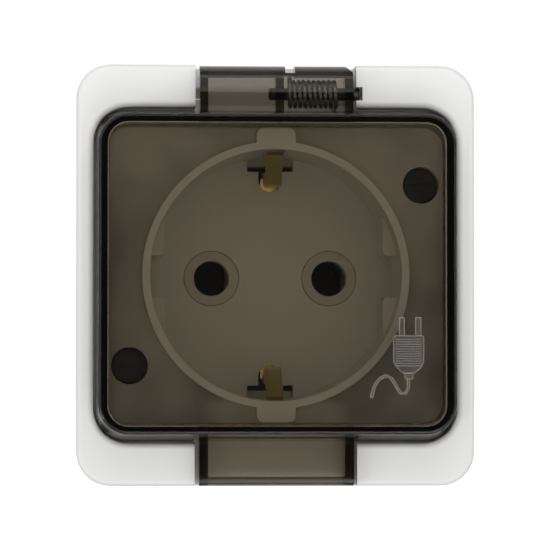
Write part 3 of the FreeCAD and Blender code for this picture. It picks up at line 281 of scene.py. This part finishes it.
def plate_cloud_and_painted_light(tree, right, up):
    """The plate's patches: noise, plus painted light, paler towards the top and in a pool at the bottom middle."""
    painted_top_light = add_node(tree, "ShaderNodeMapRange", From_Min=PAINTED_TOP_LIGHT_SPAN[0], From_Max=PAINTED_TOP_LIGHT_SPAN[1],
                     To_Min=PAINTED_TOP_LIGHT[0], To_Max=PAINTED_TOP_LIGHT[1])
    tree.links.new(up, painted_top_light.inputs["Value"])
    across = mathematics(tree, "ABSOLUTE", right, 0.0)
    painted_pool = mathematics(tree, "MULTIPLY", between(tree, across, 0.0, PAINTED_POOL_ACROSS, PAINTED_POOL_ACROSS_SOFT),
                       between(tree, up, -FAR, PAINTED_POOL_BELOW, PAINTED_POOL_BELOW_SOFT))
    painted_light = mathematics(tree, "ADD", painted_top_light.outputs["Result"], mathematics(tree, "MULTIPLY", painted_pool, PAINTED_POOL_LIGHT))
    cloud = add_node(tree, "ShaderNodeMapRange", From_Min=PATCH_RANGE[0], From_Max=PATCH_RANGE[1])
    tree.links.new(mathematics(tree, "ADD", noise(tree, PATCHES_PER_METRE), painted_light), cloud.inputs["Value"])
    return cloud.outputs["Result"]


def cover_plastic_with_painted_light(name):
    material, tree, shader, shell_colour = white_plastic(name)
    right, back, up = piece_axes(tree)
    dull = blend_colours(tree, plate_cloud_and_painted_light(tree, right, up), PLATE_DARK, PLATE_LIGHT)
    on_plate = between(tree, back, *PLATE_DEEP, SHARP)
    tree.links.new(blend_colours(tree, on_plate, shell_colour, dull), shader.inputs["Base Color"])
    return material


cover_white_painted_light = cover_plastic_with_painted_light("cover_white_painted_light")
print("made", cover_white_painted_light.name)

# %% [markdown]
# The smoked lid. Real tinted plastic is clear plastic with a dye all through it: thin walls look
# brown and open, and a wall seen along its length goes nearly black. A brown transparent skin would look
# the same from every side. So the surface is clear, and an absorbing volume inside takes the light away
# by the distance that it travels, which darkens the edges by itself, as on the real lid. The outer walls
# of the tray have a satin skin that scatters a little light, which gives the grey line round its edge.
# The hinge barrel gets painted shade in its colour on top of that: darker all over, and darkest along its crown.

# %% Where the lid is satin, and the painted shade on its barrel
CLEAR = 0.998
SATIN = 0.68
SKIRT_ACROSS = (27.35 * MM, 29 * MM)
SKIRT_ALONG = (24.65 * MM, 26.15 * MM)
SKIRT_DEEP = (-47.1 * MM, -38 * MM)
SKIRT_DEEP_SOFT = 0.2 * MM
LUG_ACROSS = 12.9 * MM
ENDS_LESS = 0.50
# Painted shade: the barrel's colour is darkened, and its crown is painted nearly black.
BARREL_SHADE_FROM = 26.4 * MM
BARREL_SHADE_SOFT = 0.1 * MM
BARREL_PAINTED_SHADE = (0.76, 0.755, 0.73)
CROWN_SHADE_FROM = 31.0 * MM
CROWN_SHADE_SOFT = 0.4 * MM
CROWN_PAINTED_SHADE = (0.06, 0.06, 0.05)


def satin_skirt(tree, right, back, up):
    """1 on the tray's outer side walls, less on its ends, and 0 by the hinge and the tab."""
    across = mathematics(tree, "ABSOLUTE", right, 0.0)
    along = mathematics(tree, "ABSOLUTE", up, 0.0)
    sides = between(tree, across, *SKIRT_ACROSS, SHARP)
    ends = between(tree, along, *SKIRT_ALONG, SHARP)
    ends = mathematics(tree, "MULTIPLY", ends, between(tree, across, LUG_ACROSS, SKIRT_ACROSS[1], SHARP))
    skirt = mathematics(tree, "MAXIMUM", sides, mathematics(tree, "MULTIPLY", ends, ENDS_LESS))
    return mathematics(tree, "MULTIPLY", skirt, between(tree, back, *SKIRT_DEEP, SKIRT_DEEP_SOFT))


def paint_barrel_shade(tree, up):
    """White on the tray; painted shade on the hinge barrel, darkest on the barrel's crown."""
    barrel_shade = between(tree, up, BARREL_SHADE_FROM, FAR, BARREL_SHADE_SOFT)
    crown_shade = between(tree, up, CROWN_SHADE_FROM, FAR, CROWN_SHADE_SOFT)
    return blend_colours(tree, barrel_shade, (1, 1, 1), blend_colours(tree, crown_shade, BARREL_PAINTED_SHADE, CROWN_PAINTED_SHADE))


print("the lid's satin skirt is", round((SKIRT_DEEP[1] - SKIRT_DEEP[0]) / MM, 1), "mm deep")

# %% Smoked clear plastic
LID_IOR = 1.5
LID_ROUGH = 0.015
DYE_DENSITY = 575.0
DYE_PASSES = (0.322, 0.222, 0.02)


def smoked_plastic(name):
    material, tree, shader, output = new_material(name)
    shader.inputs["Roughness"].default_value = LID_ROUGH
    shader.inputs["IOR"].default_value = LID_IOR
    right, back, up = piece_axes(tree)
    tree.links.new(paint_barrel_shade(tree, up), shader.inputs["Base Color"])
    clearness = spread(tree, satin_skirt(tree, right, back, up), CLEAR, SATIN)
    tree.links.new(clearness, shader.inputs["Transmission Weight"])
    dye = add_node(tree, "ShaderNodeVolumeAbsorption", Color=(*DYE_PASSES, 1), Density=DYE_DENSITY)
    tree.links.new(dye.outputs["Volume"], output.inputs["Volume"])
    return material


smoke = smoked_plastic("smoked_plastic")
print("made", smoke.name)

# %% [markdown]
# The sign on the lid is the same plastic, but its skin is matt, as the mould was etched there. It scatters
# light instead of passing it, and its sloping edges do so most. White paint would be simpler, but the
# real sign has no colour of its own, so both finishes stay mostly clear.

# %% Frosted plastic for the sign
FROST_LIGHT = (0.92, 0.91, 0.86)
FROST_DARK = (0.80, 0.79, 0.74)
FROST_PER_METRE = 4000
SKIN_DEPTH = 0.02 * MM


def frosted_plastic(name, clear, rough):
    material, tree, shader, _ = new_material(name)
    grit = noise(tree, FROST_PER_METRE)
    tree.links.new(blend_colours(tree, grit, FROST_LIGHT, FROST_DARK), shader.inputs["Base Color"])
    tree.links.new(spread(tree, grit, rough - 0.05, rough + 0.05), shader.inputs["Roughness"])
    bump(tree, shader, grit, 0.3, SKIN_DEPTH)
    shader.inputs["IOR"].default_value = LID_IOR
    shader.inputs["Transmission Weight"].default_value = clear
    return material


frosted = frosted_plastic("frosted_plastic", 0.97, 0.12)
frosted_edge = frosted_plastic("frosted_edge", 0.82, 0.25)
print("made", frosted.name, "and", frosted_edge.name)

# %% [markdown]
# The metals. The earth clips are stamped brass. The pin contacts deep in the holes carry painted shade:
# their brass is painted dark, as is the carrier under them, so the holes look nearly black. The spring is
# drawn steel wire, the hinge pin is darkened steel, and the screws inside are zinc-plated. A bare metallic
# colour looks like paint when the room is plain. So each gets a fine streak or grain, stretched the way
# that its making leaves it.

# %% Metals


def metal(name, light, dark, rough, grain, stretch):
    material, tree, shader, _ = new_material(name)
    shader.inputs["Metallic"].default_value = 1.0
    streak = noise(tree, grain, 3, stretch)
    tree.links.new(blend_colours(tree, streak, light, dark), shader.inputs["Base Color"])
    tree.links.new(spread(tree, streak, rough - 0.06, rough + 0.08), shader.inputs["Roughness"])
    bump(tree, shader, streak, 0.15, SKIN_DEPTH)
    return material


brass = metal("stamped_brass", (0.82, 0.71, 0.38), (0.62, 0.51, 0.26), 0.22, 700, (4, 1, 0.4))
# Painted shade: the pin contacts' brass is painted dark so that the holes look black.
brass_in_painted_shade = metal("brass_in_painted_shade", (0.26, 0.20, 0.11), (0.18, 0.14, 0.07), 0.45, 700, (4, 1, 0.4))
spring_steel = metal("spring_steel", (0.46, 0.44, 0.40), (0.30, 0.29, 0.26), 0.26, 900, (1, 1, 1))
dark_steel = metal("dark_steel", (0.10, 0.10, 0.10), (0.05, 0.05, 0.05), 0.38, 900, (1, 3, 3))
zinc = metal("zinc_plate", (0.66, 0.66, 0.64), (0.52, 0.52, 0.50), 0.34, 800, (1, 1, 1))
print("made two brasses, two steels and zinc")

# %% [markdown]
# The dull plastics and the rubber. The collars round the pin holes belong to a hard insulating plastic,
# the seals and the cable's grommet are soft rubber, and the two cover screws have a black coat. They
# differ in colour and in how rough they are, so one recipe with a fine grit serves them all.

# %% Dull plastics, rubber and the black coat
GRIT_PER_METRE = 1500


def dull_plastic(name, light, dark, rough):
    material, tree, shader, _ = new_material(name)
    grit = noise(tree, GRIT_PER_METRE)
    tree.links.new(blend_colours(tree, grit, light, dark), shader.inputs["Base Color"])
    tree.links.new(spread(tree, grit, rough - 0.05, rough + 0.05), shader.inputs["Roughness"])
    bump(tree, shader, grit, 0.2, SKIN_DEPTH)
    return material


carrier_grey = dull_plastic("carrier_plastic", (0.74, 0.73, 0.69), (0.68, 0.67, 0.63), 0.5)
# Painted shade: the contact carrier, seen deep down the holes and slots, is painted near black.
carrier_painted_shade = dull_plastic("carrier_painted_shade", (0.10, 0.10, 0.098), (0.07, 0.07, 0.068), 0.5)
black_rubber = dull_plastic("black_rubber", (0.022, 0.022, 0.022), (0.014, 0.014, 0.014), 0.65)
pale_seal = dull_plastic("pale_seal", (0.62, 0.62, 0.60), (0.55, 0.55, 0.53), 0.6)
grey_rubber = dull_plastic("grey_rubber", (0.36, 0.36, 0.355), (0.30, 0.30, 0.295), 0.6)
black_metal = dull_plastic("black_coated_screw", (0.02, 0.02, 0.02), (0.012, 0.012, 0.012), 0.42)
print("made two carrier plastics, three rubbers and the black coat")

# %% [markdown]
# Every node of the construction model now gets its finish. The record names a slot for each piece, so a
# small table from slot to finish dresses most of them. Four pieces have a finish of their own: the cover,
# with painted light on its plate, and the contact carrier and the two pin contacts, painted dark as
# painted shade. The shape stays as it is: only the material slots change.

# %% Dress the nodes
FINISHES = {
    "white_shell": shell_white,
    "smoked_lid": smoke,
    "black_rubber": black_rubber,
    "pale_seal": pale_seal,
    "grommet_rubber": grey_rubber,
    "dark_pin": dark_steel,
    "spring_wire": spring_steel,
    "carrier": carrier_grey,
    "brass": brass,
    "zinc_screw": zinc,
    "black_screw": black_metal,
}
OWN_FINISH = {
    "front_cover": cover_white_painted_light,
    "contact_base": carrier_painted_shade,
    "line_contact": brass_in_painted_shade,
    "neutral_contact": brass_in_painted_shade,
}
for part in frame["record"]["subparts"]:
    surfaces = nodes[part["node"]].data.materials
    surfaces.clear()
    surfaces.append(OWN_FINISH.get(part["node"], FINISHES[part["material_slot"]]))

# %% [markdown]
# The spring. It is one length of thin wire: a straight leg that holds the lid, a close coil round the
# pin, and a second leg that stands on the frame. A curve through the wire's middle line with a round
# bevel is the simplest way to make it. When the lid opens the coil winds up.

# %% Lay out the wire
WIRE = 0.35 * MM
COIL = 1.95 * MM
TURNS = 9.25
STEPS = 28
hinge = frame["joints"][0]
axis_y, axis_z = hinge["pos_m"][1], hinge["pos_m"][2]
spring_low, spring_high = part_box("hinge_spring")
coil_left = spring_low.x + WIRE
coil_right = spring_high.x - WIRE


def coil_point(turn):
    """The wire's middle after that many turns: it starts in front of the axis and runs downwards."""
    angle = turn * math.tau
    x = coil_left + (coil_right - coil_left) * turn / TURNS
    return Vector((x, axis_y - COIL * math.cos(angle), axis_z - COIL * math.sin(angle)))


upper_leg = Vector((coil_left, axis_y - COIL, spring_high.z))
rear_leg = Vector((coil_right, spring_high.y, axis_z - COIL))
coil = [coil_point(i / STEPS) for i in range(int(TURNS * STEPS) + 1)]
wire_route = [upper_leg, *coil, rear_leg]
print("points along the wire:", len(wire_route))

# %% Wind the spring
WIRE_ROUNDNESS = 3


def wire_tube(name, route, radius):
    """A closed round wire along a route, made as a mesh."""
    curve = bpy.data.curves.new(name, "CURVE")
    curve.dimensions = "3D"
    curve.bevel_depth = radius
    curve.bevel_resolution = WIRE_ROUNDNESS
    curve.use_fill_caps = True
    spline = curve.splines.new("POLY")
    spline.points.add(len(route) - 1)
    for point, place in zip(spline.points, route):
        point.co = (*place, 1)
    path = bpy.data.objects.new(name + "_path", curve)
    mesh = bpy.data.meshes.new_from_object(path)
    mesh.name = name
    bpy.data.objects.remove(path)
    mesh.shade_smooth()
    piece = bpy.data.objects.new(name, mesh)
    scene.collection.objects.link(piece)
    return piece


spring = wire_tube("wound_spring", wire_route, WIRE)
spring.data.materials.append(spring_steel)
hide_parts("hinge_spring")
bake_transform(spring)
print("spring faces:", len(spring.data.polygons))

# %% [markdown]
# The plug sign on the lid. It is moulded in one piece with the lid, as a flat relief a few tenths of
# a millimetre high: two prongs, a ribbed body and a wavy cord. A bump in the lid's material could draw it,
# but its edges catch the light, which is why it reads so clearly in a dark lid. So each part is a small
# closed mesh that stands on the lid's face. Places are measured in the picture and turned into lengths.

# %% Measure the lid's face
PIXELS_PER_MM = 6.46
SIGN_ZERO = (277.5, 273.9)
lid_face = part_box("lid")[0].y


def on_lid(px, py):
    """A place on the lid's face for a place in the picture."""
    right = (px - SIGN_ZERO[0]) / PIXELS_PER_MM
    up = (SIGN_ZERO[1] - py) / PIXELS_PER_MM
    return Vector((right * MM, lid_face, up * MM))


def box_outline(x0, y0, x1, y1):
    return [on_lid(x0, y0), on_lid(x1, y0), on_lid(x1, y1), on_lid(x0, y1)]


def band_outline(middle, width):
    """The two sides of a band that follows a middle line."""
    left, right = [], []
    for i, (x, y) in enumerate(middle):
        before = middle[max(i - 1, 0)]
        after = middle[min(i + 1, len(middle) - 1)]
        along = Vector((after[0] - before[0], after[1] - before[1])).normalized()
        left.append(on_lid(x - along.y * width / 2, y + along.x * width / 2))
        right.append(on_lid(x + along.y * width / 2, y - along.x * width / 2))
    return left + right[::-1]


print("the lid's face lies at", round(lid_face / MM, 2), "mm")

# %% How a part of the sign is raised
RELIEF = 0.35 * MM
RELIEF_EDGE = 0.12 * MM
SUNK = 0.02 * MM
FLAT = 0.999


def raised_form(name, outline, height, edge):
    """A closed mesh with that outline, rooted just under the lid's face, its front rim bevelled."""
    build = bmesh.new()
    root = build.faces.new([build.verts.new(p + Vector((0, SUNK, 0))) for p in outline])
    raised = bmesh.ops.extrude_face_region(build, geom=[root])["geom"]
    front_points = [v for v in raised if isinstance(v, bmesh.types.BMVert)]
    bmesh.ops.translate(build, vec=(0, -height - SUNK, 0), verts=front_points)
    rim = {line for face in raised if isinstance(face, bmesh.types.BMFace) for line in face.edges}
    bmesh.ops.bevel(build, geom=list(rim), offset=edge, segments=2, affect="EDGES", profile=0.5)
    bmesh.ops.recalc_face_normals(build, faces=build.faces)
    for face in build.faces:
        face.material_index = int(abs(face.normal.y) < FLAT)
    mesh = bpy.data.meshes.new(name)
    build.to_mesh(mesh)
    build.free()
    return mesh


def relief(name, outline, height=RELIEF, edge=RELIEF_EDGE):
    """Puts a raised part of the sign on the lid; it moves with the lid."""
    piece = bpy.data.objects.new(name, raised_form(name, outline, height, edge))
    scene.collection.objects.link(piece)
    piece.data.materials.append(frosted)
    piece.data.materials.append(frosted_edge)
    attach(piece, "lid")
    return piece


print("the sign stands", round(RELIEF / MM, 2), "mm off the lid")

# %% Raise the plug sign
BODY = ((392.8, 337), (394.5, 335.6), (422.2, 335.6), (423.9, 337), (423.9, 362), (420.5, 368.5),
        (414, 373.7), (403, 373.7), (396.5, 368.5), (392.8, 362))
CORD = ((408, 379), (408, 388), (405.5, 393.5), (400, 393.2), (395.5, 386), (391, 378.5), (385.5, 376),
        (379.5, 378.5), (375.2, 384), (372.5, 391), (371, 398))
CORD_WIDTH = 3.2
PRONG_LEFT = (398.6, 317.4, 404.4, 336.4)
PRONG_RIGHT = (415.0, 317.4, 421.0, 336.4)
NECK = (404, 373.0, 413, 379.5)
RIBS = 12
RIB_ENDS = (395.5, 421)
RIB_TOP = 339.0
RIB_STEP = 2.4
RIB_WIDTH = 1.2
RIB_RELIEF = 1.4 * RELIEF
RIB_EDGE = 0.06 * MM
sign = [
    relief("sign_prong_left", box_outline(*PRONG_LEFT)),
    relief("sign_prong_right", box_outline(*PRONG_RIGHT)),
    relief("sign_body", [on_lid(x, y) for x, y in BODY]),
    relief("sign_neck", box_outline(*NECK)),
    relief("sign_cord", band_outline(CORD, CORD_WIDTH)),
]
for rib in range(RIBS):
    top = RIB_TOP + rib * RIB_STEP
    outline = box_outline(RIB_ENDS[0], top, RIB_ENDS[1], top + RIB_WIDTH)
    sign.append(relief(f"sign_rib_{rib}", outline, RIB_RELIEF, RIB_EDGE))
print("sign pieces:", len(sign))

# %% [markdown]
# The light of the room. A clear lid shows whatever stands opposite it, so a photographer keeps a small
# patch of the room round the camera dark and lights the object from all round it. Big cards and lamps
# could be built for that, but a world that depends on direction alone does the same with no objects: a
# dark cone where the lid would mirror the room, a soft ring of light round it, a broad glow from low on
# the right for the well, a tight one from the left for its rim, and a pale room elsewhere, brighter at
# the sides and from above.

# %% Room light by direction
FRONT_DARK = 0.02
DARK_WAY = Vector((0.061, -1.0, 0.034)).normalized()
DARK_CONE = (math.cos(math.radians(4.6)), math.cos(math.radians(7)))
BACK_LIGHT = 0.20
SIDE_LIGHT = 0.45
ACROSS_LIGHT = 0.55
FRONT_EXTRA = 0.12
TOP_EXTRA = 0.12
FRONT_HALF = (0.1, -0.3)
FRONT_CAP = (-0.4, -0.9)
# Each glow: its way, how strong it is, and how tight
GLOWS = {
    "ring round the dark patch": (Vector((0.0, -1.0, 0.0)), 0.46, 14.0),
    "low on the right": (Vector((0.22, -0.66, -0.72)).normalized(), 2.3, 16.0),
    "from the left": (Vector((-0.80, -0.45, -0.40)).normalized(), 4.5, 60.0),
}


def along_way(tree, place, way):
    """How far the looked-at direction runs along a given way: 1 is straight at it."""
    dot = tree.nodes.new("ShaderNodeVectorMath")
    dot.operation = "DOT_PRODUCT"
    tree.links.new(place, dot.inputs[0])
    dot.inputs[1].default_value = way
    return dot.outputs["Value"]


def smooth_step(tree, value, start, end, low=0.0, high=1.0):
    """Goes smoothly from low to high while the value goes from start to end."""
    step = add_node(tree, "ShaderNodeMapRange", From_Min=start, From_Max=end, To_Min=low, To_Max=high)
    step.interpolation_type = "SMOOTHSTEP"
    tree.links.new(value, step.inputs["Value"])
    return step.outputs["Result"]


def room_light(tree, place, axes):
    """The strength of the room's light for each direction."""
    before = smooth_step(tree, axes["Y"], *FRONT_HALF)
    front = smooth_step(tree, axes["Y"], *FRONT_CAP, high=FRONT_EXTRA)
    across = mathematics(tree, "MULTIPLY", axes["X"], axes["X"])
    total = mathematics(tree, "ADD", mathematics(tree, "MULTIPLY", across, ACROSS_LIGHT), SIDE_LIGHT - BACK_LIGHT)
    total = mathematics(tree, "MULTIPLY", total, before)
    total = mathematics(tree, "ADD", mathematics(tree, "ADD", total, front), BACK_LIGHT)
    total = mathematics(tree, "ADD", total, mathematics(tree, "MULTIPLY", axes["Z"], TOP_EXTRA))
    for way, light, tight in GLOWS.values():
        glow = mathematics(tree, "MAXIMUM", along_way(tree, place, way), 0.0)
        glow = mathematics(tree, "POWER", glow, tight)
        total = mathematics(tree, "ADD", total, mathematics(tree, "MULTIPLY", glow, light))
    dark = smooth_step(tree, along_way(tree, place, DARK_WAY), *DARK_CONE, low=FRONT_DARK)
    return mathematics(tree, "MULTIPLY", total, dark)


print("glows in the room:", ", ".join(GLOWS))

# %% [markdown]
# The white backdrop. The camera sees plain white behind the object. Clear and shiny pieces see it too
# where they look towards the backdrop, so the open lid and the metal don't show a grey room. A real white
# wall would throw its light on the object, so the world chooses by the kind of ray instead.

# %% World with a white backdrop
BACKDROP = (0.1, 0.5)


def studio_world():
    world = bpy.data.worlds.new("studio")
    world.use_nodes = True
    tree = world.node_tree
    tree.nodes.clear()
    output = tree.nodes.new("ShaderNodeOutputWorld")
    place = tree.nodes.new("ShaderNodeTexCoord").outputs["Generated"]
    split = tree.nodes.new("ShaderNodeSeparateXYZ")
    tree.links.new(place, split.inputs["Vector"])
    lit = add_node(tree, "ShaderNodeBackground", Color=(1, 1, 1, 1))
    tree.links.new(room_light(tree, place, split.outputs), lit.inputs["Strength"])
    white = add_node(tree, "ShaderNodeBackground", Color=(1, 1, 1, 1), Strength=1.0)
    ray = tree.nodes.new("ShaderNodeLightPath").outputs
    shown = mathematics(tree, "MAXIMUM", ray["Is Glossy Ray"], ray["Is Transmission Ray"])
    shown = mathematics(tree, "MULTIPLY", shown, smooth_step(tree, split.outputs["Y"], *BACKDROP))
    shown = mathematics(tree, "MAXIMUM", shown, ray["Is Camera Ray"])
    choose = tree.nodes.new("ShaderNodeMixShader")
    tree.links.new(shown, choose.inputs["Fac"])
    tree.links.new(lit.outputs["Background"], choose.inputs[1])
    tree.links.new(white.outputs["Background"], choose.inputs[2])
    tree.links.new(choose.outputs["Shader"], output.inputs["Surface"])
    return world


scene.world = studio_world()
print("made the", scene.world.name, "world")

# %% [markdown]
# The softboxes. The room alone is flat. One long softbox above gives the top faces their soft shine, a
# small one close above the front makes the cover fall off from top to bottom, and a big one behind keeps
# the back from going black in other views. The last two are hidden from shiny surfaces, so that no lamp
# shows as a hot spot.

# %% Softboxes


def softbox(name, place, size, power):
    lamp = bpy.data.lights.new(name, "AREA")
    lamp.shape = "RECTANGLE"
    lamp.size, lamp.size_y = size
    lamp.energy = power
    holder = bpy.data.objects.new(name, lamp)
    holder.location = place
    scene.collection.objects.link(holder)
    aim(holder, target)
    return holder


softbox("key_from_above", place=(-0.05, -0.20, 0.60), size=(0.6, 0.15), power=0.22)
front_fill = softbox("fill_from_above", place=(0.0, -0.16, 0.13), size=(0.16, 0.06), power=0.068)
rear_fill = softbox("fill_from_behind", place=(0.25, 0.90, 0.55), size=(0.7, 0.7), power=5.0)
for lamp in (front_fill, rear_fill):
    lamp.visible_camera = False
    lamp.visible_glossy = False
rear_fill.visible_transmission = False

# %% [markdown]
# The floor. The object stands on its bottom edge on a wide pale sheet. A sheet lit brightly enough to be
# white would also light the object from below. So the sheet glows for the camera alone: it looks as white
# as the background, still takes the object's shadow, and throws no light on the object.

# %% Floor
FLOOR_HALF = 6.0
FLOOR_GAP = 0.05 * MM
FLOOR_GREY = 0.86
FLOOR_ROUGH = 0.8
FLOOR_GLOW = 0.9


def floor_finish():
    material, tree, shader, output = new_material("floor_white")
    shader.inputs["Base Color"].default_value = (FLOOR_GREY, FLOOR_GREY, FLOOR_GREY, 1)
    shader.inputs["Roughness"].default_value = FLOOR_ROUGH
    glow = add_node(tree, "ShaderNodeEmission", Color=(1, 1, 1, 1), Strength=FLOOR_GLOW)
    both = tree.nodes.new("ShaderNodeAddShader")
    tree.links.new(shader.outputs["BSDF"], both.inputs[0])
    tree.links.new(glow.outputs["Emission"], both.inputs[1])
    choose = tree.nodes.new("ShaderNodeMixShader")
    ray = tree.nodes.new("ShaderNodeLightPath")
    tree.links.new(ray.outputs["Is Camera Ray"], choose.inputs["Fac"])
    tree.links.new(shader.outputs["BSDF"], choose.inputs[1])
    tree.links.new(both.outputs["Shader"], choose.inputs[2])
    tree.links.new(choose.outputs["Shader"], output.inputs["Surface"])
    return material


def lay_floor():
    mesh = bpy.data.meshes.new("floor")
    level = cad_low.z - FLOOR_GAP
    corners = [(x * FLOOR_HALF, y * FLOOR_HALF, level) for x, y in ((-1, -1), (1, -1), (1, 1), (-1, 1))]
    mesh.from_pydata(corners, [], [(0, 1, 2, 3)])
    mesh.materials.append(floor_finish())
    floor = bpy.data.objects.new("floor", mesh)
    scene.collection.objects.link(floor)
    for ray in ("diffuse", "glossy", "transmission", "shadow"):
        setattr(floor, "visible_" + ray, False)
    return floor


print("laid the", lay_floor().name)
